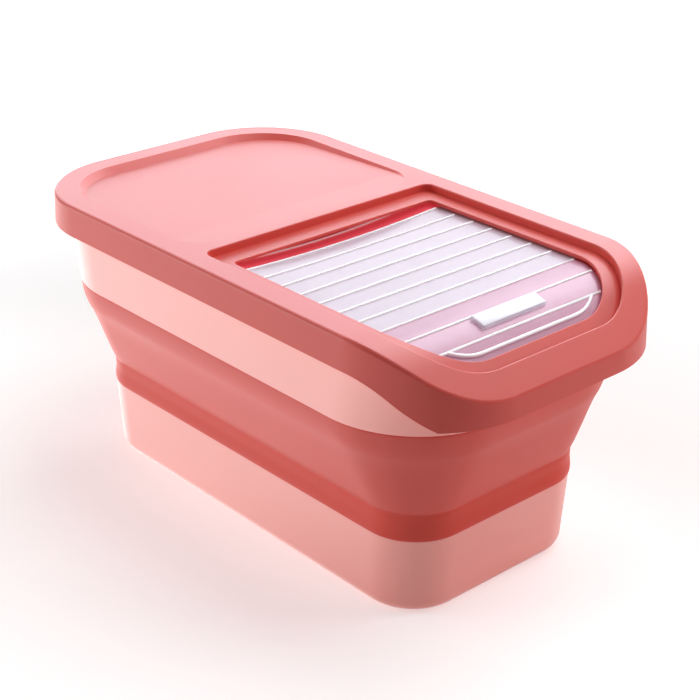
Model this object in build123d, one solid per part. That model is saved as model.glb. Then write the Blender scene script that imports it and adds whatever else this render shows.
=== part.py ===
from build123d import *
import math
import os

# Collapsible pet food container. Millimetres, +Z up, floor at Z = 0.
# The pouring end, with the window, faces -Y. The origin is the centre of the footprint.

# Lid
LID_WIDTH = 240.0
LID_HEIGHT = 207.5
LID_REAR_Y = 212.9
LID_FRONT_Y = -211.9
LID_REAR_RADIUS = 70.0
LID_FRONT_RADIUS = 74.0
LID_DRAFT = 2.0
LID_WALL = 2.5
LID_EDGE_ROUND = 3.0
SKIRT_DEPTH = 22.0
SKIRT_FRONT_Z = 157.5

# Drop of the lid towards its front end, seen from the side
BEND_Y = -141.0
BEND_RADIUS = 75.0
BEND_ANGLE = 37.0

# Sunk panel behind the window, deepest at the rear
PANEL_HALF_WIDTH = 102.5
PANEL_REAR_Y = 195.0
PANEL_FRONT_Y = 26.0
PANEL_REAR_RADIUS = 52.5
PANEL_FRONT_RADIUS = 25.0
PANEL_RAMP_Y = 46.0
PANEL_FRONT_DEPTH = 1.2
PANEL_REAR_DEPTH = 4.5
PANEL_WALL_WIDTH = 5.5

# Window: a step down to a ledge round an opening
STEP_HALF_WIDTH = 101.5
STEP_REAR_Y = 16.0
STEP_FRONT_Y = -196.0
STEP_REAR_RADIUS = 7.0
STEP_FRONT_RADIUS = 56.0
STEP_DEPTH = 5.5
STEP_TOP_ROUND = 1.0
LEDGE_ROUND = 0.6
LEDGE_THICKNESS = 2.0
OPENING_HALF_WIDTH = 89.5
OPENING_REAR_Y = 0.5
OPENING_FRONT_Y = -185.5
OPENING_REAR_RADIUS = 4.0
OPENING_FRONT_RADIUS = 47.5

# Sliding shutter, a thin ribbed curtain. Depths are below the lid's top surface.
FILM_TOP_DEPTH = 9.5
FILM_THICKNESS = 0.8
FILM_HALF_WIDTH = 94.5
FILM_REAR_Y = 14.0
SLAT_PITCH = 18.2
FRONT_SLATS = 3
FRONT_RIB_S = 30.0
NOSE_END_S = 49.5
SLAT_CORNER_GROWTH = 0.8
RIB_WIDTH = 1.6
RIB_HEIGHT = 1.6
RIB_HALF_WIDTH = 88.0
HINGE_GAP = 0.3
LIP_WIDTH = 1.6
LIP_HEIGHT = 2.0
LIP_INSET = 7.0
RIB_SINK = 0.1
SHUTTER_TRAVEL = 148.0

# Grip on the middle front slat
GRIP_WIDTH = 57.0
GRIP_LENGTH = 11.0
GRIP_HEIGHT = 3.0
GRIP_ROUND = 1.0
GRIP_RIB_GAP = 0.2

# Guide rails for the shutter's edges
RAIL_OUTER_X = 97.5
RAIL_INNER_X = 91.0
RAIL_WEB = 1.8
RAIL_TOP_DEPTH = STEP_DEPTH + LEDGE_THICKNESS
RAIL_FLANGE = 1.4
RAIL_BOTTOM_DEPTH = 12.3
RAIL_FRONT_Y = -155.0
RAIL_STOP_LENGTH = 2.0
RAIL_STOP_GAP = 1.0
RAIL_REAR_Y = FILM_REAR_Y + SHUTTER_TRAVEL + RAIL_STOP_GAP + RAIL_STOP_LENGTH
RAIL_POST_LENGTH = 14.0
RAIL_POST_Y = (44.0, 84.0, 124.0, 150.0)

# Body: base, folding wall and rim share one plan, a rounded rectangle that grows upwards.
# Each plan is (half width, half length, corner radius).
BODY_Y = 5.0
BASE_BOTTOM_PLAN = (82.9, 169.5, 38.0)
BASE_TOP_PLAN = (85.2, 172.6, 38.5)
RIM_PLAN = (111.0, 196.0, 72.0)
BASE_TOP_Z = 56.4
BASE_LIP_Z = 70.0
BASE_LIP_INSET = 1.8
BASE_WALL = 3.0
BASE_FLOOR = 2.5
BASE_FOOT_ROUND = 9.0
BASE_INNER_ROUND = 6.0

# Folding wall: height, and growth from the base's plan (0) to the rim's plan (1)
RIM_BOTTOM_Z = 143.3
WALL_PROFILE = (
    (BASE_TOP_Z, 0.015),
    (59.0, 0.035),
    (66.0, -0.010),
    (74.0, 0.010),
    (76.0, -0.020),
    (77.5, 0.055),
    (90.0, 0.260),
    (112.0, 0.590),
    (121.0, 0.770),
    (129.0, 0.915),
    (136.0, 0.985),
    (RIM_BOTTOM_Z, 1.000),
)
WALL_THICKNESS = 2.2

# Rim frame, wide enough at the top to meet the lid all round
RIM_TOP_HALF_WIDTH = 113.5
RIM_TOP_REAR_Y = 205.0
RIM_TOP_FRONT_Y = -221.0
RIM_TOP_REAR_RADIUS = 70.0
RIM_TOP_FRONT_RADIUS = 80.0
RIM_WALL = 2.5
RIM_TOP_DEPTH = 5.5
RIM_LIP_GROWTH = 1.6
RIM_LIP_DEPTH = 8.5

# Seal ring between the lid and the rim
SEAL_GAP = 0.3
SEAL_GROWTH = 0.8

# Corners never get sharper than this in plan
SMALLEST_RADIUS = 0.5

# Larger than the object, for cutting blocks
FAR = 300.0

# How far a cutting block reaches past the surface that it trims
OVERLAP = 1.0
LID_OVERLAP = 10.0

# Room for error when an edge is picked by its place
SURFACE_TOLERANCE = 0.3
PLAN_TOLERANCE = 0.1
SEAM_LENGTH = 200.0
SEAM_MARGIN = 5.0


def outline(half_width, rear_y, front_y, rear_radius, front_radius, z=0.0, grow=0.0):
    """Rounded rectangle in plan, with its own corner radius at each end."""
    w = half_width + grow
    rear = rear_y + grow
    front = front_y - grow
    rr = max(rear_radius + grow, SMALLEST_RADIUS)
    fr = max(front_radius + grow, SMALLEST_RADIUS)
    level = Plane.XY.offset(z)
    edges = [
        Line((-w + fr, front), (w - fr, front)),
        CenterArc((w - fr, front + fr), fr, -90, 90),
        Line((w, front + fr), (w, rear - rr)),
        CenterArc((w - rr, rear - rr), rr, 0, 90),
        Line((w - rr, rear), (-w + rr, rear)),
        CenterArc((-w + rr, rear - rr), rr, 90, 90),
        Line((-w, rear - rr), (-w, front + fr)),
        CenterArc((-w + fr, front + fr), fr, 180, 90),
    ]
    return level * make_face(edges)


def between(low_face, high_face):
    """Solid between two plans with the same corners."""
    return loft([low_face, high_face], ruled=True)


def lid_plan(z, grow=0.0):
    """Lid outline at a height: it widens downwards by the draft."""
    drop = (LID_HEIGHT - z) * math.tan(math.radians(LID_DRAFT))
    return outline(LID_WIDTH / 2, LID_REAR_Y, LID_FRONT_Y, LID_REAR_RADIUS,
                   LID_FRONT_RADIUS, z, grow + drop)


def step_prism(grow=0.0):
    """Upright prism on the outline of the window's step."""
    plan = outline(STEP_HALF_WIDTH, STEP_REAR_Y, STEP_FRONT_Y, STEP_REAR_RADIUS,
                   STEP_FRONT_RADIUS, 0.0, grow)
    return extrude(plan, FAR)


def opening_prism(grow=0.0):
    """Upright prism on the outline of the window's opening."""
    plan = outline(OPENING_HALF_WIDTH, OPENING_REAR_Y, OPENING_FRONT_Y, OPENING_REAR_RADIUS,
                   OPENING_FRONT_RADIUS, 0.0, grow)
    return extrude(plan, FAR)


def panel_prism(grow=0.0):
    """Prism on the sunk panel's outline, with walls that lean outwards as they rise."""
    lean = PANEL_WALL_WIDTH / PANEL_REAR_DEPTH
    reach = PANEL_REAR_DEPTH + LID_WALL + OVERLAP

    def plan(z):
        return outline(PANEL_HALF_WIDTH, PANEL_REAR_Y, PANEL_FRONT_Y, PANEL_REAR_RADIUS,
                       PANEL_FRONT_RADIUS, z, grow + (z - LID_HEIGHT) * lean)

    return between(plan(LID_HEIGHT - reach), plan(LID_HEIGHT + reach))


def body_plan(plan, z, inset=0.0):
    """Plan of the body at a height."""
    half_width, half_length, radius = plan
    return outline(half_width, BODY_Y + half_length, BODY_Y - half_length, radius, radius,
                   z, -inset)


def grown(growth):
    """Body plan part of the way from the base's top to the rim's bottom."""
    return tuple(low + growth * (high - low) for low, high in zip(BASE_TOP_PLAN, RIM_PLAN))


def rim_plan(z, grow=0.0):
    """Rim plan at a height, from its bottom plan to a wider one at the lid's level."""
    share = (z - RIM_BOTTOM_Z) / (LID_HEIGHT - RIM_BOTTOM_Z)
    low_width, low_length, low_radius = RIM_PLAN

    def part_way(low, high):
        return low + share * (high - low)

    return outline(
        part_way(low_width, RIM_TOP_HALF_WIDTH),
        part_way(BODY_Y + low_length, RIM_TOP_REAR_Y),
        part_way(BODY_Y - low_length, RIM_TOP_FRONT_Y),
        part_way(low_radius, RIM_TOP_REAR_RADIUS),
        part_way(low_radius, RIM_TOP_FRONT_RADIUS),
        z,
        grow,
    )


def profile_point(depth, along):
    """Point (y, z) of the lid's side profile sunk by depth, at a length past the bend."""
    radius = BEND_RADIUS - depth
    bend = math.radians(BEND_ANGLE)
    centre_z = LID_HEIGHT - BEND_RADIUS
    if along <= 0:
        return BEND_Y - along, LID_HEIGHT - depth
    angle = min(along / radius, bend)
    rest = max(along - radius * bend, 0.0)
    y = BEND_Y - radius * math.sin(angle) - rest * math.cos(bend)
    z = centre_z + radius * math.cos(angle) - rest * math.sin(bend)
    return y, z


def profile_edges(depth, rear_y, straight):
    """Side profile sunk by depth: flat, then an arc, then a straight slope."""
    arc = (BEND_RADIUS - depth) * math.radians(BEND_ANGLE)
    start = (rear_y, LID_HEIGHT - depth)
    bend = profile_point(depth, 0.0)
    middle = profile_point(depth, arc / 2)
    slope = profile_point(depth, arc)
    end = profile_point(depth, arc + straight)
    edges = [Line(start, bend), ThreePointArc(bend, middle, slope), Line(slope, end)]
    return edges, start, end


def slab(edges, x_low=-FAR, x_high=FAR):
    """Solid from a closed side view, drawn as (y, z), between two values of X."""
    side = Plane(origin=(x_low, 0, 0), x_dir=(0, 1, 0), z_dir=(1, 0, 0))
    return extrude(side * make_face(edges), x_high - x_low)


def band(top_depth, bottom_depth, x_low=-FAR, x_high=FAR):
    """Solid between two depths below the lid's side profile."""
    upper, upper_start, upper_end = profile_edges(top_depth, FAR, FAR)
    lower, lower_start, lower_end = profile_edges(bottom_depth, FAR, FAR)
    ends = [Line(upper_start, lower_start), Line(upper_end, lower_end)]
    return slab(upper + lower + ends, x_low, x_high)


def under(depth):
    """Everything below the lid's side profile sunk by depth."""
    upper, start, end = profile_edges(depth, FAR, FAR)
    edges = upper + [
        Line(start, (start[0], -FAR)),
        Line((start[0], -FAR), (end[0], -FAR)),
        Line((end[0], -FAR), end),
    ]
    return slab(edges)


def stretch(y_low, y_high, z_low=-FAR, z_high=FAR):
    """Block that keeps a stretch of the object's length and height."""
    block = Box(2 * FAR, y_high - y_low, z_high - z_low)
    return Pos(0, (y_low + y_high) / 2, (z_low + z_high) / 2) * block


def panel_floor(sink=0.0):
    """Space above the sunk panel's floor, which ramps up to the lid's top at its front."""
    top = LID_HEIGHT + PANEL_REAR_DEPTH
    corners = [
        (PANEL_FRONT_Y, LID_HEIGHT - sink),
        (PANEL_RAMP_Y, LID_HEIGHT - PANEL_FRONT_DEPTH - sink),
        (PANEL_REAR_Y + LID_WALL, LID_HEIGHT - PANEL_REAR_DEPTH - sink),
        (PANEL_REAR_Y + LID_WALL, top),
        (PANEL_FRONT_Y, top),
    ]
    return slab(list(Polyline(*corners, close=True).edges()))


def skirt_space():
    """What the lid's skirt leaves free: its lower edge follows the drop, then runs level."""
    level = stretch(-FAR, FAR, -FAR, SKIRT_FRONT_Z)
    return under(SKIRT_DEPTH) + level


def depth_of(point):
    """Depth of a point below the lid's top surface."""
    bend = math.radians(BEND_ANGLE)
    away = BEND_Y - point.Y
    up = point.Z - (LID_HEIGHT - BEND_RADIUS)
    if away <= 0:
        return LID_HEIGHT - point.Z
    if math.atan2(away, up) <= bend:
        return BEND_RADIUS - math.hypot(away, up)
    return BEND_RADIUS - (away * math.sin(bend) + up * math.cos(bend))


def lies_at(edge, depth):
    """True where an edge lies at a depth below the lid's top surface."""
    places = (edge @ 0.0, edge @ 0.5, edge @ 1.0)
    return all(abs(depth_of(place) - depth) < SURFACE_TOLERANCE for place in places)


def make_lid_cover():
    """Lid: skirt, sunk panel, and a window with a step and a ledge round its opening."""
    low_z = SKIRT_FRONT_Z - LID_OVERLAP
    high_z = LID_HEIGHT + LID_OVERLAP
    block = between(lid_plan(low_z), lid_plan(high_z)) & under(0.0)
    rim_edges = [edge for edge in block.edges() if lies_at(edge, 0.0) and not is_across(edge)]
    block = fillet(rim_edges, LID_EDGE_ROUND)
    block = block - skirt_space()

    hollow = between(lid_plan(low_z - LID_OVERLAP, -LID_WALL), lid_plan(high_z, -LID_WALL))
    hollow = hollow & under(LID_WALL)
    hollow = hollow - (step_prism(LID_WALL) - under(STEP_DEPTH + LEDGE_THICKNESS))
    hollow = hollow - (panel_prism(LID_WALL) & panel_floor(LID_WALL))

    lid = block - hollow
    lid = lid - (step_prism() - under(STEP_DEPTH))
    step_edges = [edge for edge in lid.edges() if lies_at(edge, 0.0) and in_step_plan(edge)]
    lid = fillet(step_edges, STEP_TOP_ROUND)
    lid = lid - opening_prism()
    ledge_edges = [edge for edge in lid.edges() if lies_at(edge, STEP_DEPTH)
                   and in_opening_plan(edge) and not is_across(edge)]
    lid = fillet(ledge_edges, LEDGE_ROUND)
    return lid - (panel_prism() & panel_floor())


def is_across(edge):
    """True for a seam that crosses the lid from side to side."""
    middle = edge @ 0.5
    level = abs((edge @ 0).Y - (edge @ 1).Y) < PLAN_TOLERANCE
    central = abs(middle.X) < PLAN_TOLERANCE
    inside = LID_FRONT_Y + SEAM_MARGIN < middle.Y < LID_REAR_Y - SEAM_MARGIN
    return edge.length > SEAM_LENGTH and level and central and inside


def in_plan(edge, half_width, rear_y, front_y):
    """True for an edge within a plan's limits."""
    box = edge.bounding_box()
    width = half_width + PLAN_TOLERANCE
    within_width = box.max.X < width and box.min.X > -width
    within_length = box.max.Y < rear_y + PLAN_TOLERANCE and box.min.Y > front_y - PLAN_TOLERANCE
    return within_width and within_length


def in_step_plan(edge):
    """True for an edge within the limits of the window's step."""
    return in_plan(edge, STEP_HALF_WIDTH, STEP_REAR_Y, STEP_FRONT_Y)


def in_opening_plan(edge):
    """True for an edge within the limits of the window's opening."""
    return in_plan(edge, OPENING_HALF_WIDTH, OPENING_REAR_Y, OPENING_FRONT_Y)


def make_lid_seal():
    """Soft ring that lies on the rim's top edge, under the lid."""
    low_z = RIM_BOTTOM_Z
    high_z = LID_HEIGHT + OVERLAP
    outer = between(rim_plan(low_z, SEAL_GROWTH), rim_plan(high_z, SEAL_GROWTH))
    inner_grow = -RIM_WALL - SEAL_GROWTH
    inner = between(rim_plan(low_z, inner_grow), rim_plan(high_z, inner_grow))
    return (outer - inner) & band(LID_WALL, RIM_TOP_DEPTH - SEAL_GAP)


def make_rim_frame():
    """Stiff ring that the folding wall hangs from, with a lip round its top."""
    high_z = LID_HEIGHT + OVERLAP
    outer = between(rim_plan(RIM_BOTTOM_Z), rim_plan(high_z))
    inner = between(rim_plan(RIM_BOTTOM_Z, -RIM_WALL), rim_plan(high_z, -RIM_WALL))
    wall = (outer - inner) & under(RIM_TOP_DEPTH)
    lip = between(rim_plan(RIM_BOTTOM_Z, RIM_LIP_GROWTH), rim_plan(high_z, RIM_LIP_GROWTH))
    return wall + ((lip - inner) & band(RIM_TOP_DEPTH, RIM_LIP_DEPTH))


def make_base_tub():
    """Shallow tub with a recessed lip that the folding wall is moulded onto."""
    body = between(body_plan(BASE_BOTTOM_PLAN, 0.0), body_plan(BASE_TOP_PLAN, BASE_TOP_Z))
    body = fillet(body.edges().group_by(Axis.Z)[0], BASE_FOOT_ROUND)
    lip_plan = body_plan(BASE_TOP_PLAN, BASE_TOP_Z, BASE_LIP_INSET)
    body = body + extrude(lip_plan, BASE_LIP_Z - BASE_TOP_Z)
    hollow = between(
        body_plan(BASE_BOTTOM_PLAN, BASE_FLOOR, BASE_WALL),
        body_plan(BASE_TOP_PLAN, BASE_LIP_Z + OVERLAP, BASE_WALL),
    )
    hollow = fillet(hollow.edges().group_by(Axis.Z)[0], BASE_INNER_ROUND)
    return body - hollow


def make_collapsible_wall():
    """Soft wall between the base and the rim, as it stands when pulled out."""
    outer_rings = [body_plan(grown(growth), z) for z, growth in WALL_PROFILE]
    inner_rings = []
    for z, growth in WALL_PROFILE:
        inner_rings.append(body_plan(grown(growth), z, WALL_THICKNESS))
    outer = loft(outer_rings, ruled=True)
    inner = loft(inner_rings, ruled=True)
    wall = outer - inner
    lip_plan = body_plan(BASE_TOP_PLAN, BASE_TOP_Z, BASE_LIP_INSET)
    return wall - extrude(lip_plan, BASE_LIP_Z - BASE_TOP_Z)


def make_guide_rail(side):
    """One rail: a C-shaped channel with a stop at its rear end, hung from the lid."""
    low_x, high_x = sorted((side * RAIL_INNER_X, side * RAIL_OUTER_X))
    web_x = sorted((side * (RAIL_OUTER_X - RAIL_WEB), side * RAIL_OUTER_X))
    top = band(RAIL_TOP_DEPTH, RAIL_TOP_DEPTH + RAIL_FLANGE, low_x, high_x)
    bottom = band(RAIL_BOTTOM_DEPTH - RAIL_FLANGE, RAIL_BOTTOM_DEPTH, low_x, high_x)
    web = band(RAIL_TOP_DEPTH, RAIL_BOTTOM_DEPTH, *web_x)
    rail = (top + bottom + web) & stretch(RAIL_FRONT_Y, RAIL_REAR_Y)
    stop = band(RAIL_TOP_DEPTH, RAIL_BOTTOM_DEPTH, low_x, high_x)
    rail = rail + (stop & stretch(RAIL_REAR_Y - RAIL_STOP_LENGTH, RAIL_REAR_Y))
    for y in RAIL_POST_Y:
        post = band(LID_WALL, RAIL_TOP_DEPTH, *web_x)
        post = post & stretch(y - RAIL_POST_LENGTH / 2, y + RAIL_POST_LENGTH / 2)
        rail = rail + (post - (panel_prism(LID_WALL) & panel_floor(LID_WALL)))
    return rail


def hinge_point(number):
    """Place (y, z) of a fold line of the shutter: 0 is nearest the rear."""
    depth = FILM_TOP_DEPTH + FILM_THICKNESS / 2
    if number == FRONT_SLATS:
        return profile_point(depth, NOSE_END_S)
    along = FRONT_RIB_S - (FRONT_SLATS - 1 - number) * SLAT_PITCH
    return profile_point(depth, along)


def slat_length(number):
    """Length of a front slat from fold to fold."""
    y0, z0 = hinge_point(number)
    y1, z1 = hinge_point(number + 1)
    return math.hypot(y1 - y0, z1 - z0)


def slat_block(number, low, high, start=0.0, end=0.0):
    """Flat piece of a front slat between two heights above its middle plane."""
    y0, z0 = hinge_point(number)
    y1, z1 = hinge_point(number + 1)
    length = slat_length(number)
    ahead = ((y1 - y0) / length, (z1 - z0) / length)
    upward = (ahead[1], -ahead[0])

    def place(along, height):
        return (
            y0 + ahead[0] * along + upward[0] * height,
            z0 + ahead[1] * along + upward[1] * height,
        )

    stop = length - end
    corners = [place(start, low), place(stop, low), place(stop, high), place(start, high)]
    return slab(list(Polyline(*corners, close=True).edges()))


def make_front_slat(number):
    """One front slat of the shutter, cut to the rounded end of the window."""
    half = FILM_THICKNESS / 2
    last = number == FRONT_SLATS - 1
    plate = slat_block(number, -half, half, HINGE_GAP / 2, 0.0 if last else HINGE_GAP / 2)
    plate = plate & opening_prism(SLAT_CORNER_GROWTH)
    rib_end = slat_length(number) - HINGE_GAP / 2 - RIB_WIDTH
    rib = slat_block(number, half - RIB_SINK, half + RIB_HEIGHT, HINGE_GAP / 2, rib_end)
    slat = plate + (rib & opening_prism(SLAT_CORNER_GROWTH - LIP_WIDTH))
    if last:
        outer = opening_prism(SLAT_CORNER_GROWTH - LIP_INSET)
        inner = opening_prism(SLAT_CORNER_GROWTH - LIP_INSET - LIP_WIDTH)
        lip = slat_block(number, half, half + LIP_HEIGHT, HINGE_GAP / 2 + RIB_WIDTH)
        slat = slat + (lip & (outer - inner))
    return slat


def make_shutter_curtain():
    """The flat stretch of the shutter, with a rib at every fold."""
    hinge_y, middle_z = hinge_point(0)
    half = FILM_THICKNESS / 2
    front_y = hinge_y + HINGE_GAP / 2
    film = Box(2 * FILM_HALF_WIDTH, FILM_REAR_Y - front_y, FILM_THICKNESS)
    curtain = Pos(0, (FILM_REAR_Y + front_y) / 2, middle_z) * film
    count = int((FILM_REAR_Y - hinge_y) / SLAT_PITCH)
    for number in range(1, count + 1):
        rib = Box(2 * RIB_HALF_WIDTH, RIB_WIDTH, RIB_HEIGHT)
        rib_y = hinge_y + number * SLAT_PITCH
        curtain = curtain + Pos(0, rib_y, middle_z + half + RIB_HEIGHT / 2) * rib
    return curtain


def make_shutter_grip():
    """Rounded block to push the shutter with, on the middle front slat."""
    number = FRONT_SLATS - 2
    half = FILM_THICKNESS / 2
    start = RIB_WIDTH + GRIP_RIB_GAP
    end = slat_length(number) - start - GRIP_LENGTH
    block = slat_block(number, half, half + GRIP_HEIGHT, start, end)
    block = block & Box(GRIP_WIDTH, 2 * FAR, 2 * FAR)
    base = min(block.faces(), key=lambda face: face.normal_at().Z)
    rounded = [edge for edge in block.edges() if edge not in base.edges()]
    return fillet(rounded, GRIP_ROUND)


def slope_of(number):
    """Slope of a front slat below the level, in degrees."""
    y0, z0 = hinge_point(number)
    y1, z1 = hinge_point(number + 1)
    return math.degrees(math.atan2(z0 - z1, y0 - y1))


def save(name, solid):
    """Write one named part."""
    solid.label = name
    export_step(solid, f"parts/{name}.step")


def main():
    """Make every part and print the folds that the hinges stand on."""
    os.makedirs("parts", exist_ok=True)
    save("base_tub", make_base_tub())
    save("collapsible_wall", make_collapsible_wall())
    save("rim_frame", make_rim_frame())
    save("lid_cover", make_lid_cover())
    save("lid_seal", make_lid_seal())
    save("guide_rail_right", make_guide_rail(1))
    save("guide_rail_left", make_guide_rail(-1))
    save("shutter_curtain", make_shutter_curtain())
    for number in range(FRONT_SLATS):
        save(f"shutter_slat_{number + 1}", make_front_slat(number))
        y, z = hinge_point(number)
        print(f"fold {number + 1}: y {y:.3f} z {z:.3f} slope {slope_of(number):.3f}")
    save("shutter_grip", make_shutter_grip())


main()
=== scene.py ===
import math

import bmesh
import bpy
from mathutils import Matrix, Vector


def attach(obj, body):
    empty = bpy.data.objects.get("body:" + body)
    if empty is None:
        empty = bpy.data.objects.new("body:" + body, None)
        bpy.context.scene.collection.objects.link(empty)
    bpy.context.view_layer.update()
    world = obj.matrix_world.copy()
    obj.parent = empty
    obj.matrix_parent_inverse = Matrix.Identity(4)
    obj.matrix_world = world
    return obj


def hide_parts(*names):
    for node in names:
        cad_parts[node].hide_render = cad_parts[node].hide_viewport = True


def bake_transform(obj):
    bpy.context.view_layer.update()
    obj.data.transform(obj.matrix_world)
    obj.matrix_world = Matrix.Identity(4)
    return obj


# Collapsible pet food container. Metres, +Z up, floor at Z = 0; the window end faces -Y.

MM = 0.001

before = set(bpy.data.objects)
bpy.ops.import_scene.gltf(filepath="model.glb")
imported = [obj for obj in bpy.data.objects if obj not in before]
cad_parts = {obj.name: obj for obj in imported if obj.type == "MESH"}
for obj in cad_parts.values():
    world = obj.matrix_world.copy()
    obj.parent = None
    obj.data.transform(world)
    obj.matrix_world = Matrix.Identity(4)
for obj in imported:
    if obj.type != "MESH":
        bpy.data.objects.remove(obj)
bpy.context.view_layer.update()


# Where the photograph was taken from
CAMERA_AZIMUTH = math.radians(-42.09)
CAMERA_ELEVATION = math.radians(25.53)
CAMERA_ROLL = math.radians(0.4)
CAMERA_DISTANCE = 1217.71 * MM
CAMERA_RIGHT = 13.3 * MM
CAMERA_UP = 98.85 * MM
CAMERA_AIM_Y = 4.25 * MM
CAMERA_LENS = 85.17
CAMERA_SENSOR = 36.0

# Floor: it glows from near the object outwards for the camera, less so on its shaded side
FLOOR_HALF_WIDTH = 8.0
FLOOR_DROP = 0.3 * MM
FLOOR_GLOW_START = 0.35
FLOOR_GLOW_FULL = 1.3
FLOOR_SHADE_END = 0.9

# Surround's strength as plain light, as gloss shows it and as the camera sees it
ROOM_LIGHT = 0.11
ROOM_MIRRORED = 0.533
ROOM_SEEN = 1.05

# Lamps point at the object's middle
LAMP_AIM = (0.0, 0.0, 100.0 * MM)
COOL_WHITE = (0.86, 0.91, 1.0)

# Shading is crisp along edges whose faces turn by more than these angles
PIECE_CRISP = math.radians(30.0)
SHELL_CRISP = math.radians(28.0)
WALL_CRISP = math.radians(60.0)

# Points of a solid's copy that are this close are one point
MERGE_DISTANCE = 0.002 * MM

# Distance from the middle over which a face that looks inwards counts as inside
INSIDE_FADE = (-10.0 * MM, -50.0 * MM)

# Lid: side profile, flat and then bent down towards the front
LID_TOP = 207.5 * MM
BEND_Y = -141.0 * MM
BEND_RADIUS = 75.0 * MM
BEND_ANGLE = math.radians(37.0)

# Body plans: half width, half length, corner radius
BODY_Y = 5.0 * MM
BASE_PLAN = (85.2 * MM, 172.6 * MM, 38.5 * MM)
RIM_PLAN = (111.0 * MM, 196.0 * MM, 72.0 * MM)

# Folding wall, from the base up: height in millimetres, and growth towards the rim's plan
WALL_LEVELS = (
    (56.4, 0.000),
    (57.0, 0.030),
    (60.0, 0.042),
    (64.0, 0.018),
    (67.0, -0.006),
    (70.5, 0.004),
    (74.5, 0.008),
    (76.2, -0.004),
    (77.6, 0.050),
    (83.0, 0.150),
    (90.0, 0.262),
    (98.0, 0.385),
    (106.0, 0.505),
    (114.0, 0.625),
    (120.0, 0.738),
    (123.0, 0.800),
    (126.0, 0.868),
    (130.5, 0.930),
    (136.0, 0.978),
    (141.0, 0.996),
    (143.2, 0.998),
)
WALL_THICKNESS = 2.2 * MM
CORNER_SEGMENTS = 14
SHORTEST_SIDE = 60.0 * MM
SIDE_CUTS = 9
LOWER_BAND_FADE = (80.0 * MM, 74.0 * MM)

# Shutter: a thin film with ribs, on the lid's profile at a depth
FILM_DEPTH = 9.9 * MM
FILM_THICKNESS = 0.8 * MM
FILM_TOP = FILM_THICKNESS / 2
FILM_HALF_WIDTH = 94.5 * MM
FILM_REAR_Y = 14.0 * MM
FILM_SEGMENTS = (36, 30)
# Where the film's rear strip, painted red and glowing red, fades in
PAINTED_RED_STRIP_FADE = (-8.0 * MM, -4.0 * MM)
FOLD_Y = (-134.6 * MM, -152.735 * MM, -169.949 * MM)
FOLD_GAP = 0.15 * MM
SLAT_PITCH = 18.2 * MM
SLAT_STEPS = 8
FILM_SAG = 6.0 * MM
FILM_SAG_LENGTH = 74.0 * MM
RIB_WIDTH = 1.6 * MM
RIB_HEIGHT = 0.9 * MM
RIB_HALF_WIDTH = 88.0 * MM
RIB_ROUND = 0.5 * MM
RIB_ROUND_SEGMENTS = 3
RIB_CUTS = 23

# Front end of the shutter follows the window's opening
OPENING_HALF_WIDTH = 89.5 * MM
OPENING_FRONT_Y = -185.5 * MM
OPENING_FRONT_RADIUS = 47.5 * MM
NOSE_SEGMENTS = 20
NOSE_GROWTH = 0.8 * MM
LIP_INSET = 7.0 * MM
LIP_WIDTH = 1.6 * MM
LIP_HEIGHT = 2.0 * MM

# Grip on the middle front slat
GRIP_WIDTH = 57.0 * MM
GRIP_LENGTH = 11.0 * MM
GRIP_HEIGHT = 3.0 * MM
GRIP_GAP = 0.2 * MM
GRIP_ROUND = 1.0 * MM
GRIP_ROUND_SEGMENTS = 5
GRIP_WALL = 0.8 * MM


class Field:
    """A socket whose value varies over a surface, with arithmetic."""

    def __init__(self, nodes, socket):
        self.nodes = nodes
        self.socket = socket

    def math(self, operation, first, second):
        return self.nodes.node("ShaderNodeMath", {"operation": operation}, [first, second])

    def __add__(self, other):
        return self.math("ADD", self, other)

    def __radd__(self, other):
        return self.math("ADD", other, self)

    def __sub__(self, other):
        return self.math("SUBTRACT", self, other)

    def __rsub__(self, other):
        return self.math("SUBTRACT", other, self)

    def __mul__(self, other):
        return self.math("MULTIPLY", self, other)

    def __rmul__(self, other):
        return self.math("MULTIPLY", other, self)


class Nodes:
    """The nodes of a material or of the surround."""

    def __init__(self, owner):
        owner.use_nodes = True
        self.tree = owner.node_tree
        self.tree.nodes.clear()

    def node(self, kind, settings=None, inputs=(), output=0):
        """Node with its settings, then its sockets' values or links; gives one of its outputs."""
        node = self.tree.nodes.new(kind)
        for key, value in (settings or {}).items():
            setattr(node, key, value)
        pairs = inputs.items() if isinstance(inputs, dict) else enumerate(inputs)
        for socket, value in pairs:
            if isinstance(value, Field):
                self.tree.links.new(value.socket, node.inputs[socket])
            else:
                node.inputs[socket].default_value = value
        return Field(self, node.outputs[output])

    def output(self, kind, shader):
        out = self.tree.nodes.new(kind)
        self.tree.links.new(shader.socket, out.inputs["Surface"])


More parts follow.
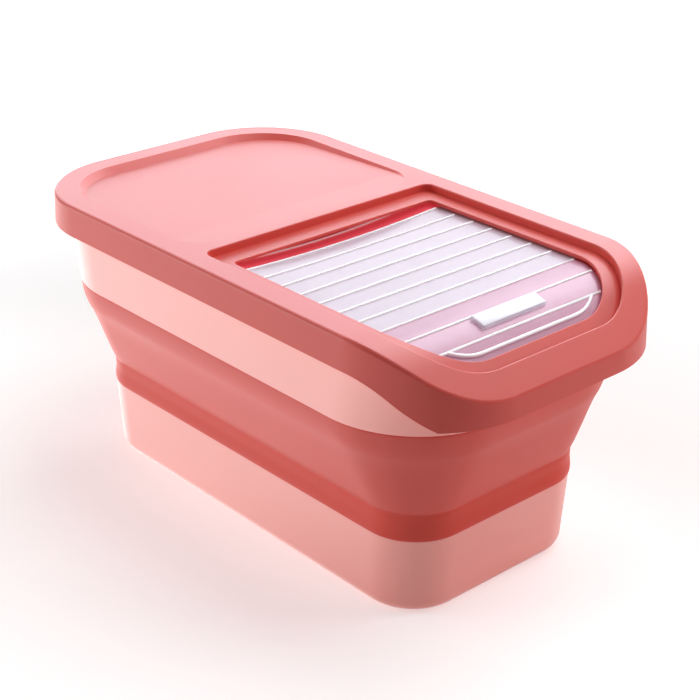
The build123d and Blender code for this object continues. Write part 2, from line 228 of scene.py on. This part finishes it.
class Finish(Nodes):
    """A material that is built up from nodes."""

    def __init__(self, name):
        self.material = bpy.data.materials.new(name)
        super().__init__(self.material)

    def place(self):
        return self.node("ShaderNodeTexCoord", output="Object")

    def facing(self):
        return self.node("ShaderNodeTexCoord", output="Normal")

    def vector(self, operation, inputs, output=0):
        return self.node("ShaderNodeVectorMath", {"operation": operation}, inputs, output)

    def along(self, axis):
        return self.node("ShaderNodeSeparateXYZ", None, [self.place()], axis)

    def noise(self, scale, detail=2.0, roughness=0.5):
        values = {"Vector": self.place(), "Scale": scale, "Detail": detail, "Roughness": roughness}
        return self.node("ShaderNodeTexNoise", None, values)

    def step(self, value, start, end, low=0.0, high=1.0):
        """Smooth change from low at start to high at end."""
        values = {"Value": value, "From Min": start, "From Max": end, "To Min": low, "To Max": high}
        return self.node("ShaderNodeMapRange", {"interpolation_type": "SMOOTHSTEP"}, values)

    def inside(self):
        """Share that is 1 where a surface faces the container's middle."""
        level = self.vector("MULTIPLY", [self.facing(), (1.0, 1.0, 0.0)])
        outward = self.vector("DOT_PRODUCT", [level, self.place()], 1)
        return self.step(outward, *INSIDE_FADE)

    def mix(self, share, first, second):
        """Colour between two colours."""
        inputs = {0: share, 6: first, 7: second}
        return self.node("ShaderNodeMix", {"data_type": "RGBA"}, inputs, 2)

    def bump(self, height, distance, strength):
        values = {"Height": height, "Distance": distance, "Strength": strength}
        return self.node("ShaderNodeBump", None, values)

    def surface(self, **sockets):
        """Principled shader; a socket's words are joined by underscores."""
        values = {}
        for name, value in sockets.items():
            values[name.replace("_", " ")] = value
        shader = self.node("ShaderNodeBsdfPrincipled", None, values)
        self.output("ShaderNodeOutputMaterial", shader)
        return self.material


def shade(red, green, blue):
    """Colour from the values that a screen shows, 0 to 255."""
    def linear(value):
        share = value / 255.0
        return share / 12.92 if share <= 0.04045 else ((share + 0.055) / 1.055) ** 2.4

    return (linear(red), linear(green), linear(blue), 1.0)


def lid_finish():
    """Satin coral plastic with a faint painted red glow, standing in for red light through it."""
    finish = Finish("coral_lid_plastic")
    cloud = finish.noise(14.0, 2.0)
    colour = finish.mix(cloud, shade(218, 84, 75), shade(224, 92, 84))
    grain = finish.noise(2600.0, 2.0, 0.6)
    ripple = finish.noise(60.0, 1.0)
    normal = finish.bump(grain * 0.5 + ripple * 0.5, 0.06 * MM, 0.35)
    return finish.surface(
        Base_Color=colour,
        Roughness=0.34 + 0.10 * cloud,
        Subsurface_Weight=0.2,
        Subsurface_Radius=(3.0, 1.0, 0.8),
        Subsurface_Scale=MM,
        Specular_IOR_Level=0.36,
        Coat_Weight=0.1,
        Coat_Roughness=0.3,
        # Painted glow: a faint red emission stands in for light through the plastic.
        Emission_Color=(1.0, 0.08, 0.05, 1.0),
        Emission_Strength=0.03,
        Normal=normal,
    )


def pale_finish():
    """Pale pink translucent plastic of the base and the rim, with a painted red glow."""
    finish = Finish("pale_pink_plastic")
    cloud = finish.noise(9.0, 2.0)
    colour = finish.mix(cloud, shade(250, 152, 142), shade(252, 162, 152))
    # Painted glow, a little redder on faces that look into the container, stands in for light
    # through the plastic.
    glow = finish.mix(finish.inside(), (0.35, 0.11, 0.09, 1.0), (0.40, 0.09, 0.08, 1.0))
    grain = finish.noise(2200.0, 2.0, 0.6)
    normal = finish.bump(grain, 0.05 * MM, 0.3)
    return finish.surface(
        Base_Color=colour,
        Roughness=0.36 + 0.08 * cloud,
        Subsurface_Weight=0.1,
        Subsurface_Radius=(3.0, 1.2, 1.0),
        Subsurface_Scale=MM,
        Coat_Weight=1.0,
        Coat_IOR=1.7,
        Coat_Roughness=0.3,
        Emission_Color=glow,
        Emission_Strength=0.28,
        Normal=normal,
    )


def soft_wall_finish():
    """Matt, slightly translucent rubber of the folding wall, with a painted red glow."""
    finish = Finish("coral_soft_rubber")
    cloud = finish.noise(18.0, 3.0)
    red = finish.mix(cloud, shade(222, 86, 78), shade(228, 96, 88))
    lower_band = finish.step(finish.along(2), *LOWER_BAND_FADE)
    colour = finish.mix(lower_band, red, shade(222, 68, 54))
    # Painted glow, stronger on faces that look into the container, stands in for light through the
    # rubber.
    glow = finish.mix(finish.inside(), (0.15, 0.02, 0.01, 1.0), (0.35, 0.04, 0.03, 1.0))
    grain = finish.noise(1800.0, 3.0, 0.6)
    pull = finish.noise(30.0, 2.0)
    normal = finish.bump(grain * 0.3 + pull * 0.7, 0.15 * MM, 0.35)
    return finish.surface(
        Base_Color=colour,
        Roughness=0.42 + 0.10 * cloud,
        Subsurface_Weight=0.2,
        Subsurface_Radius=(3.0, 1.0, 0.8),
        Subsurface_Scale=MM,
        Specular_IOR_Level=0.3,
        Coat_Weight=0.25,
        Coat_Roughness=0.35,
        Emission_Color=glow,
        Emission_Strength=0.28,
        Normal=normal,
    )


def film_finish(name, deep, pale, cover):
    """Frosted film; cover is the share of it that hides what is behind.

    Behind the last rib it is painted red and glows red, standing in for the lit red inside seen
    through it.
    """
    finish = Finish(name)
    cloud = finish.noise(30.0, 3.0)
    streak = finish.noise(700.0, 2.0)
    # Painted red and a painted red glow behind the last rib stand in for the lit red inside seen
    # through the film.
    painted_red_strip = finish.step(finish.along(1), *PAINTED_RED_STRIP_FADE)
    colour = finish.mix(painted_red_strip, finish.mix(cloud, deep, pale), shade(228, 86, 102))
    glow = finish.mix(painted_red_strip, (0.0, 0.0, 0.0, 1.0), (1.0, 0.10, 0.14, 1.0))
    normal = finish.bump(streak * 0.4 + cloud * 0.6, 0.10 * MM, 0.3)
    return finish.surface(
        Base_Color=colour,
        Roughness=0.24 + 0.14 * cloud,
        Alpha=cover + 0.10 * cloud,
        Emission_Color=glow,
        Emission_Strength=0.22,
        Specular_IOR_Level=0.4,
        Coat_Weight=0.3,
        Coat_Roughness=0.12,
        Normal=normal,
    )


def rib_finish():
    """Clear-white plastic, thick enough to look nearly white, with a faint painted white glow
    standing in for light through it.
    """
    finish = Finish("shutter_rib_plastic")
    cloud = finish.noise(40.0, 2.0)
    colour = finish.mix(cloud, shade(246, 240, 250), shade(250, 246, 252))
    return finish.surface(
        Base_Color=colour,
        Roughness=0.20 + 0.10 * cloud,
        Subsurface_Weight=0.8,
        Subsurface_Radius=(1.5, 1.3, 1.5),
        Subsurface_Scale=MM,
        Coat_Weight=0.8,
        Coat_Roughness=0.08,
        # Painted glow: a faint white emission stands in for light through the ribs.
        Emission_Color=(1.0, 0.96, 1.0, 1.0),
        Emission_Strength=0.15,
    )


def grip_finish():
    """Frosted white plastic of the grip, with a faint painted white glow; painted light from above
    makes it whitest on top.
    """
    finish = Finish("frosted_grip_plastic")
    cloud = finish.noise(120.0, 2.0)
    # Upward faces hide more of what is behind: painted light from above that makes the top whitest.
    upward = finish.node("ShaderNodeSeparateXYZ", None, [finish.facing()], 2)
    cover = finish.step(upward, 0.3, 0.9, 0.32, 0.62)
    colour = finish.mix(cloud, shade(228, 231, 242), shade(236, 238, 246))
    return finish.surface(
        Base_Color=colour,
        Roughness=0.25 + 0.12 * cloud,
        Alpha=cover + 0.06 * cloud,
        Coat_Weight=0.4,
        Coat_Roughness=0.1,
        Emission_Color=(1.0, 0.96, 1.0, 1.0),
        Emission_Strength=0.06,
    )


def seal_finish():
    """Pale silicone of the seal."""
    finish = Finish("pale_silicone_seal")
    cloud = finish.noise(60.0, 2.0)
    colour = finish.mix(cloud, shade(226, 220, 220), shade(234, 229, 229))
    return finish.surface(
        Base_Color=colour,
        Roughness=0.5 + 0.1 * cloud,
        Subsurface_Weight=0.3,
        Subsurface_Radius=(4.0, 3.0, 3.0),
        Subsurface_Scale=MM,
    )


def shaded_object(name, bm, material, crisp):
    """Object from a bmesh, smoothly shaded between its crisp edges."""
    for face in bm.faces:
        face.smooth = True
    for edge in bm.edges:
        edge.smooth = edge.calc_face_angle(math.pi) < crisp
    mesh = bpy.data.meshes.new(name)
    bm.to_mesh(mesh)
    bm.free()
    mesh.materials.append(material)
    piece = bpy.data.objects.new(name, mesh)
    bpy.context.scene.collection.objects.link(piece)
    return piece


def make_object(name, bm, material, crisp=PIECE_CRISP):
    """Shaded object with its faces turned outwards."""
    bmesh.ops.recalc_face_normals(bm, faces=bm.faces)
    return shaded_object(name, bm, material, crisp)


def fit(piece, body, slot, *nodes):
    """Let a piece ride on a body and hide the nodes that it stands for; slot is not used."""
    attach(piece, body)
    if nodes:
        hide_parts(*nodes)


def apply_modifiers(piece):
    """Fix the piece's modifiers into its mesh."""
    graph = bpy.context.evaluated_depsgraph_get()
    mesh = bpy.data.meshes.new_from_object(piece.evaluated_get(graph), depsgraph=graph)
    piece.modifiers.clear()
    piece.data = mesh


def dressed_copy(name, node, body, slot, material):
    """Merged, smoothly shaded copy of a solid, in place of it."""
    bm = bmesh.new()
    bm.from_mesh(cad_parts[node].data)
    bmesh.ops.remove_doubles(bm, verts=bm.verts, dist=MERGE_DISTANCE)
    bmesh.ops.dissolve_degenerate(bm, edges=bm.edges, dist=MERGE_DISTANCE)
    piece = shaded_object(name, bm, material, SHELL_CRISP)
    weighted = piece.modifiers.new("even_shading", "WEIGHTED_NORMAL")
    weighted.keep_sharp = True
    fit(piece, body, slot, node)


def rounded_plan(half_width, front_y, rear_y, front_radius, rear_radius, segments):
    """Flat face with rounded corners, as a bmesh."""
    middle = (rear_y + front_y) / 2
    bm = bmesh.new()
    bmesh.ops.create_grid(bm, x_segments=1, y_segments=1, size=0.5)
    bmesh.ops.scale(bm, vec=(2 * half_width, rear_y - front_y, 1.0), verts=bm.verts)
    bmesh.ops.translate(bm, vec=(0.0, middle, 0.0), verts=bm.verts)
    for radius, behind in ((front_radius, False), (rear_radius, True)):
        if radius > 0:
            corners = [vert for vert in bm.verts if (vert.co.y > middle) == behind]
            bmesh.ops.bevel(
                bm, geom=corners, offset=radius, offset_type="OFFSET", affect="VERTICES",
                segments=segments, profile=0.5, material=-1,
            )
    return bm


def plan_at(growth):
    """Plan of the folding wall part of the way from the base's to the rim's."""
    return tuple(low + growth * (high - low) for low, high in zip(BASE_PLAN, RIM_PLAN))


def move_to_plan(verts, plan, new_plan, inset, z):
    """Take a ring of the wall from one plan to another, corner arcs to corner arcs."""
    half_width, half_length, radius = plan
    new_width, new_length, new_radius = new_plan
    flat_x = half_width - radius
    flat_y = half_length - radius
    for vert in verts:
        x = vert.co.x
        y = vert.co.y - BODY_Y
        core = Vector((max(-flat_x, min(flat_x, x)), max(-flat_y, min(flat_y, y))))
        outward = (Vector((x, y)) - core) / radius
        new_core = Vector((
            core.x * (new_width - new_radius) / flat_x,
            core.y * (new_length - new_radius) / flat_y,
        ))
        spot = new_core + outward * (new_radius - inset)
        vert.co = (spot.x, spot.y + BODY_Y, z)


def wall_ring(bm, edges, plan, new_plan, inset, z):
    """Extrude a ring of edges and take it to the next plan."""
    made = bmesh.ops.extrude_edge_only(bm, edges=edges)["geom"]
    verts = [item for item in made if isinstance(item, bmesh.types.BMVert)]
    move_to_plan(verts, plan, new_plan, inset, z)
    return [item for item in made if isinstance(item, bmesh.types.BMEdge)]


def folding_wall(material):
    """Soft wall from base to rim, with its lower band, groove and upper crease."""
    first_z, first_growth = WALL_LEVELS[0]
    plan = plan_at(first_growth)
    half_width, half_length, radius = plan
    bm = rounded_plan(half_width, BODY_Y - half_length, BODY_Y + half_length, radius, radius,
                      CORNER_SEGMENTS)
    sides = [edge for edge in bm.edges if edge.calc_length() > SHORTEST_SIDE]
    bmesh.ops.subdivide_edges(bm, edges=sides, cuts=SIDE_CUTS)
    bmesh.ops.delete(bm, geom=list(bm.faces), context="FACES_ONLY")
    bmesh.ops.translate(bm, vec=(0.0, 0.0, first_z * MM), verts=bm.verts)
    start = list(bm.edges)
    outer = start
    for z, growth in WALL_LEVELS[1:]:
        new_plan = plan_at(growth)
        outer = wall_ring(bm, outer, plan, new_plan, 0.0, z * MM)
        plan = new_plan
    inner = outer
    for z, growth in reversed(WALL_LEVELS):
        new_plan = plan_at(growth)
        inner = wall_ring(bm, inner, plan, new_plan, WALL_THICKNESS, z * MM)
        plan = tuple(size - WALL_THICKNESS for size in new_plan)
    bmesh.ops.bridge_loops(bm, edges=start + inner)
    piece = make_object("folding_wall", bm, material, WALL_CRISP)
    smooth = piece.modifiers.new("smooth", "SUBSURF")
    smooth.levels = 2
    smooth.render_levels = 2
    apply_modifiers(piece)
    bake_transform(piece)
    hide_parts("collapsible_wall")


def film_point(y, height):
    """Point (y, z) above the film's middle surface; y is where it stands on that surface."""
    radius = BEND_RADIUS - FILM_DEPTH
    centre_z = LID_TOP - BEND_RADIUS
    if y >= BEND_Y:
        return y, LID_TOP - FILM_DEPTH + height
    end_y = BEND_Y - radius * math.sin(BEND_ANGLE)
    if y >= end_y:
        angle = math.asin((BEND_Y - y) / radius)
        reach = radius + height
        return BEND_Y - reach * math.sin(angle), centre_z + reach * math.cos(angle)
    slope_z = centre_z + radius * math.cos(BEND_ANGLE) - (end_y - y) * math.tan(BEND_ANGLE)
    return y - height * math.sin(BEND_ANGLE), slope_z + height * math.cos(BEND_ANGLE)


def drape(bm):
    """Lay a flat model, with Z as its height above the film, over the lid's side profile."""
    for vert in bm.verts:
        y, z = film_point(vert.co.y, vert.co.z)
        vert.co.y = y
        vert.co.z = z


def score(bm, y, **dropped):
    """Add a line of vertices across a model."""
    bmesh.ops.bisect_plane(
        bm, geom=list(bm.verts) + list(bm.edges) + list(bm.faces),
        plane_co=(0.0, y, 0.0), plane_no=(0.0, 1.0, 0.0), **dropped,
    )


def cut(bm, y, keep_front):
    """Cut a model along its width and drop one side."""
    score(bm, y, clear_outer=keep_front, clear_inner=not keep_front)


def thicken(bm, low, high):
    """Make a solid of a flat face between two heights."""
    bmesh.ops.translate(bm, vec=(0.0, 0.0, low), verts=bm.verts)
    made = bmesh.ops.extrude_face_region(bm, geom=list(bm.faces))["geom"]
    raised = [item for item in made if isinstance(item, bmesh.types.BMVert)]
    bmesh.ops.translate(bm, vec=(0.0, 0.0, high - low), verts=raised)


def round_edges(bm, edges, radius, segments):
    """Round some edges of a model."""
    bmesh.ops.bevel(
        bm, geom=edges, offset=radius, offset_type="OFFSET", affect="EDGES",
        segments=segments, profile=0.5, material=-1,
    )


def nose_plan(grow):
    """Plan of the window's front end, grown or shrunk."""
    return rounded_plan(
        OPENING_HALF_WIDTH + grow, OPENING_FRONT_Y - grow, 0.0,
        OPENING_FRONT_RADIUS + grow, 0.0, NOSE_SEGMENTS,
    )


def slat_film(number, material):
    """Film of one front slat, curved as the window's front end is."""
    last = number == len(FOLD_Y) - 1
    bm = nose_plan(NOSE_GROWTH)
    rear = FOLD_Y[number] - FOLD_GAP
    cut(bm, rear, True)
    front = OPENING_FRONT_Y if last else FOLD_Y[number + 1] + FOLD_GAP
    if not last:
        cut(bm, front, False)
    for step in range(1, SLAT_STEPS):
        score(bm, rear + (front - rear) * step / SLAT_STEPS)
    thicken(bm, -FILM_TOP, FILM_TOP)
    drape(bm)
    return make_object(f"front_film_{number + 1}", bm, material)


def rims_top(edge, height):
    """Whether an edge lies between the top of a flat-topped model and its side."""
    low = min(vert.co.z for vert in edge.verts)
    upward = sorted(face.normal.z for face in edge.link_faces)
    return low > height / 2 and len(upward) == 2 and upward[1] - upward[0] > 0.5


def raised_strip(name, bm, height, material):
    """Strip that stands on the film, with its top edges rounded, made of its flat plan."""
    thicken(bm, 0.0, height)
    bmesh.ops.recalc_face_normals(bm, faces=bm.faces)
    top = [edge for edge in bm.edges if rims_top(edge, height)]
    round_edges(bm, top, RIB_ROUND, RIB_ROUND_SEGMENTS)
    drape(bm)
    return make_object(name, bm, material)


def slat_rib(number, material):
    """Rib along the rear edge of a front slat."""
    bm = nose_plan(NOSE_GROWTH - LIP_WIDTH)
    rear = FOLD_Y[number] - FOLD_GAP
    cut(bm, rear, True)
    cut(bm, rear - RIB_WIDTH, False)
    return raised_strip(f"front_rib_{number + 1}", bm, FILM_TOP + RIB_HEIGHT, material)


def nose_lip(material):
    """Raised lip round the shutter's front end."""
    bm = nose_plan(NOSE_GROWTH - LIP_INSET)
    face = list(bm.faces)
    bmesh.ops.inset_region(bm, faces=face, thickness=LIP_WIDTH, use_boundary=True,
                           use_even_offset=True)
    bmesh.ops.delete(bm, geom=face, context="FACES")
    cut(bm, FOLD_Y[-1] - FOLD_GAP - RIB_WIDTH, True)
    return raised_strip("nose_lip", bm, FILM_TOP + LIP_HEIGHT, material)


def grip(material):
    """Rounded hollow hood that a finger pushes against."""
    rear = FOLD_Y[1] - FOLD_GAP - RIB_WIDTH - GRIP_GAP
    middle = (0.0, rear - GRIP_LENGTH / 2, FILM_TOP + GRIP_HEIGHT / 2)
    bm = bmesh.new()
    bmesh.ops.create_cube(bm, size=1.0)
    bmesh.ops.scale(bm, vec=(GRIP_WIDTH, GRIP_LENGTH, GRIP_HEIGHT), verts=bm.verts)
    bmesh.ops.translate(bm, vec=middle, verts=bm.verts)
    rounded = [edge for edge in bm.edges if max(vert.co.z for vert in edge.verts) > middle[2]]
    round_edges(bm, rounded, GRIP_ROUND, GRIP_ROUND_SEGMENTS)
    under = [face for face in bm.faces if face.normal.z < -0.9]
    bmesh.ops.delete(bm, geom=under, context="FACES_ONLY")
    bmesh.ops.recalc_face_normals(bm, faces=bm.faces)
    bmesh.ops.solidify(bm, geom=list(bm.faces), thickness=GRIP_WALL)
    drape(bm)
    return make_object("shutter_grip_hood", bm, material)


def film_sag(x, y):
    """How far the film hangs down behind the window, where nothing holds it up."""
    near = max(0.0, (y - (FILM_REAR_Y - FILM_SAG_LENGTH)) / FILM_SAG_LENGTH)
    across = 1.0 - min(1.0, abs(x) / FILM_HALF_WIDTH) ** 2
    return FILM_SAG * min(near, 1.0) ** 2 * across


def drape_sagging(bm):
    """Drape a model of the flat stretch, and let it sag with the film."""
    drape(bm)
    for vert in bm.verts:
        vert.co.z -= film_sag(vert.co.x, vert.co.y)


def flat_film(material):
    """The shutter's flat stretch, sagging a little at its rear edge."""
    front = FOLD_Y[0] + FOLD_GAP
    length = FILM_REAR_Y - front
    across, along = FILM_SEGMENTS
    bm = bmesh.new()
    bmesh.ops.create_grid(bm, x_segments=across, y_segments=along, size=0.5)
    bmesh.ops.scale(bm, vec=(2 * FILM_HALF_WIDTH, length, 1.0), verts=bm.verts)
    bmesh.ops.translate(bm, vec=(0.0, front + length / 2, 0.0), verts=bm.verts)
    thicken(bm, -FILM_TOP, FILM_TOP)
    drape_sagging(bm)
    return make_object("shutter_film", bm, material)


def edges_across(bm):
    """Edges of a rib that run across the film."""
    return [edge for edge in bm.edges if edge.calc_length() > RIB_HALF_WIDTH]


def flat_ribs(material):
    """Ribs of the shutter's flat stretch, one at every fold."""
    whole = bmesh.new()
    count = int((FILM_REAR_Y - FOLD_Y[0]) / SLAT_PITCH)
    height = FILM_TOP + RIB_HEIGHT
    for number in range(1, count + 1):
        bm = bmesh.new()
        bmesh.ops.create_cube(bm, size=1.0)
        bmesh.ops.scale(bm, vec=(2 * RIB_HALF_WIDTH, RIB_WIDTH, height), verts=bm.verts)
        top = [edge for edge in edges_across(bm) if edge.verts[0].co.z > 0]
        round_edges(bm, top, RIB_ROUND, RIB_ROUND_SEGMENTS)
        bmesh.ops.subdivide_edges(bm, edges=edges_across(bm), cuts=RIB_CUTS, use_grid_fill=True)
        y = FOLD_Y[0] + number * SLAT_PITCH
        bmesh.ops.translate(bm, vec=(0.0, y, height / 2), verts=bm.verts)
        drape_sagging(bm)
        rib = bpy.data.meshes.new("rib")
        bm.to_mesh(rib)
        bm.free()
        whole.from_mesh(rib)
        bpy.data.meshes.remove(rib)
    return make_object("shutter_ribs", whole, material)


def build_shutter():
    """Film, ribs, lip and grip, each on the body that carries it."""
    film = film_finish("frosted_film", shade(222, 204, 221), shade(230, 215, 230), 0.74)
    # The front slats get a pinker copy of the same film: painted pink for the lit red inside seen
    # through them.
    front_film = film_finish("frosted_film_painted_pink", shade(216, 150, 182), shade(228, 170, 198), 0.74)
    rib = rib_finish()
    fit(flat_film(film), "shutter", "shutter_film", "shutter_curtain")
    fit(flat_ribs(rib), "shutter", "shutter_film")
    for number in range(len(FOLD_Y)):
        body = f"slat_{number + 1}"
        fit(slat_film(number, front_film), body, "shutter_film", f"shutter_{body}")
        fit(slat_rib(number, rib), body, "shutter_film")
    fit(nose_lip(rib), "slat_3", "shutter_film")
    fit(grip(grip_finish()), "slat_2", "grip_plastic", "shutter_grip")


def build_camera():
    """Camera where the photograph was taken from, with its slight roll."""
    back = Vector((
        math.sin(CAMERA_AZIMUTH) * math.cos(CAMERA_ELEVATION),
        -math.cos(CAMERA_AZIMUTH) * math.cos(CAMERA_ELEVATION),
        math.sin(CAMERA_ELEVATION),
    ))
    level = Vector((math.cos(CAMERA_AZIMUTH), math.sin(CAMERA_AZIMUTH), 0.0))
    raised = back.cross(level)
    right = math.cos(CAMERA_ROLL) * level + math.sin(CAMERA_ROLL) * raised
    up = -math.sin(CAMERA_ROLL) * level + math.cos(CAMERA_ROLL) * raised
    spot = back * CAMERA_DISTANCE + right * CAMERA_RIGHT + up * CAMERA_UP
    spot.y += CAMERA_AIM_Y
    data = bpy.data.cameras.new("camera")
    data.lens = CAMERA_LENS
    data.sensor_width = CAMERA_SENSOR
    data.clip_start = 0.05
    data.clip_end = 50.0
    camera = bpy.data.objects.new("camera", data)
    turn = Matrix((right, up, back)).transposed().to_4x4()
    camera.matrix_world = Matrix.Translation(spot) @ turn
    bpy.context.scene.collection.objects.link(camera)
    bpy.context.scene.camera = camera


def softbox(name, spot, width, height, power, colour=(1.0, 1.0, 1.0), diffuse=True, gloss=True):
    """Rectangular lamp that faces the object's middle, for plain light, for gloss or for both."""
    data = bpy.data.lights.new(name, "AREA")
    data.shape = "RECTANGLE"
    data.size = width
    data.size_y = height
    data.energy = power
    data.color = colour
    lamp = bpy.data.objects.new(name, data)
    lamp.location = spot
    lamp.rotation_euler = (Vector(spot) - Vector(LAMP_AIM)).to_track_quat("Z", "Y").to_euler()
    lamp.visible_camera = False
    lamp.visible_diffuse = diffuse
    lamp.visible_glossy = gloss
    bpy.context.scene.collection.objects.link(lamp)


def build_floor():
    """White floor, whose glow only the camera and the object's gloss see."""
    bm = bmesh.new()
    bmesh.ops.create_grid(bm, x_segments=1, y_segments=1, size=FLOOR_HALF_WIDTH)
    bmesh.ops.translate(bm, vec=(0.0, 0.0, -FLOOR_DROP), verts=bm.verts)
    finish = Finish("white_floor")
    seen = finish.node("ShaderNodeLightPath", output="Is Camera Ray")
    mirrored = finish.node("ShaderNodeLightPath", output="Is Glossy Ray")
    x = finish.along(0)
    y = finish.along(1)
    away = finish.vector("LENGTH", [finish.place()], 1)
    far = finish.step(away, FLOOR_GLOW_START, FLOOR_GLOW_FULL, 0.45, 1.0)
    near = finish.step(away, FLOOR_GLOW_START, FLOOR_SHADE_END, 1.0, 0.0)
    shaded_side = finish.step(x + 0.3 * y, -0.1, 0.2, 0.0, 0.25)
    lit_side = finish.step(y - x, -0.25, 0.25, 0.0, 1.4)
    strength = seen * (far - shaded_side * near) + mirrored * lit_side
    paper = finish.node("ShaderNodeBsdfDiffuse", None, {"Color": (0.93, 0.93, 0.93, 1.0)})
    glow = finish.node("ShaderNodeEmission", None, {"Strength": strength})
    both = finish.node("ShaderNodeAddShader", None, [paper, glow])
    finish.output("ShaderNodeOutputMaterial", both)
    floor = make_object("floor", bm, finish.material)


def build_surround():
    """White surround that lights the object less than it shows."""
    world = bpy.data.worlds.new("white_room")
    bpy.context.scene.world = world
    nodes = Nodes(world)
    seen = nodes.node("ShaderNodeLightPath", output="Is Camera Ray")
    mirrored = nodes.node("ShaderNodeLightPath", output="Is Glossy Ray")
    strength = ROOM_LIGHT + seen * (ROOM_SEEN - ROOM_LIGHT)
    strength += mirrored * (ROOM_MIRRORED - ROOM_LIGHT)
    white = {"Color": (1.0, 1.0, 1.0, 1.0), "Strength": strength}
    room = nodes.node("ShaderNodeBackground", None, white)
    nodes.output("ShaderNodeOutputWorld", room)


def build_lamps():
    """Soft lamps, of which the two behind the object only lie on it as gloss."""
    softbox("rear_softbox", (1.2, 1.32, 1.1), 3.4, 2.3, 79.0, COOL_WHITE, diffuse=False)
    softbox("bend_softbox", (1.05, 0.35, 1.35), 0.9, 0.9, 6.0, COOL_WHITE, diffuse=False)
    softbox("left_softbox", (-1.15, 1.1, 0.5), 1.3, 0.8, 12.0)
    softbox("right_softbox", (1.35, -1.05, 0.5), 0.9, 0.7, 10.0, gloss=False)
    softbox("top_softbox", (0.6, -0.1, 1.4), 1.5, 1.3, 15.0)


def build():
    """The whole container and the stage that it stands on."""
    pale = pale_finish()
    lid = lid_finish()
    dressed_copy("base", "base_tub", "base", "pale_body", pale)
    dressed_copy("rim", "rim_frame", "rim", "pale_body", pale)
    dressed_copy("lid", "lid_cover", "lid", "lid_plastic", lid)
    dressed_copy("seal", "lid_seal", "lid", "seal_rubber", seal_finish())
    dressed_copy("left_rail", "guide_rail_left", "lid", "rail_plastic", lid)
    dressed_copy("right_rail", "guide_rail_right", "lid", "rail_plastic", lid)
    folding_wall(soft_wall_finish())
    build_shutter()
    build_floor()
    build_surround()
    build_lamps()
    build_camera()
    bpy.context.scene.view_settings.view_transform = "Standard"


def corners(box):
    """A box's two corners, to a thousandth of a millimetre."""
    return [[round(value, 6) for value in corner] for corner in box]


build()
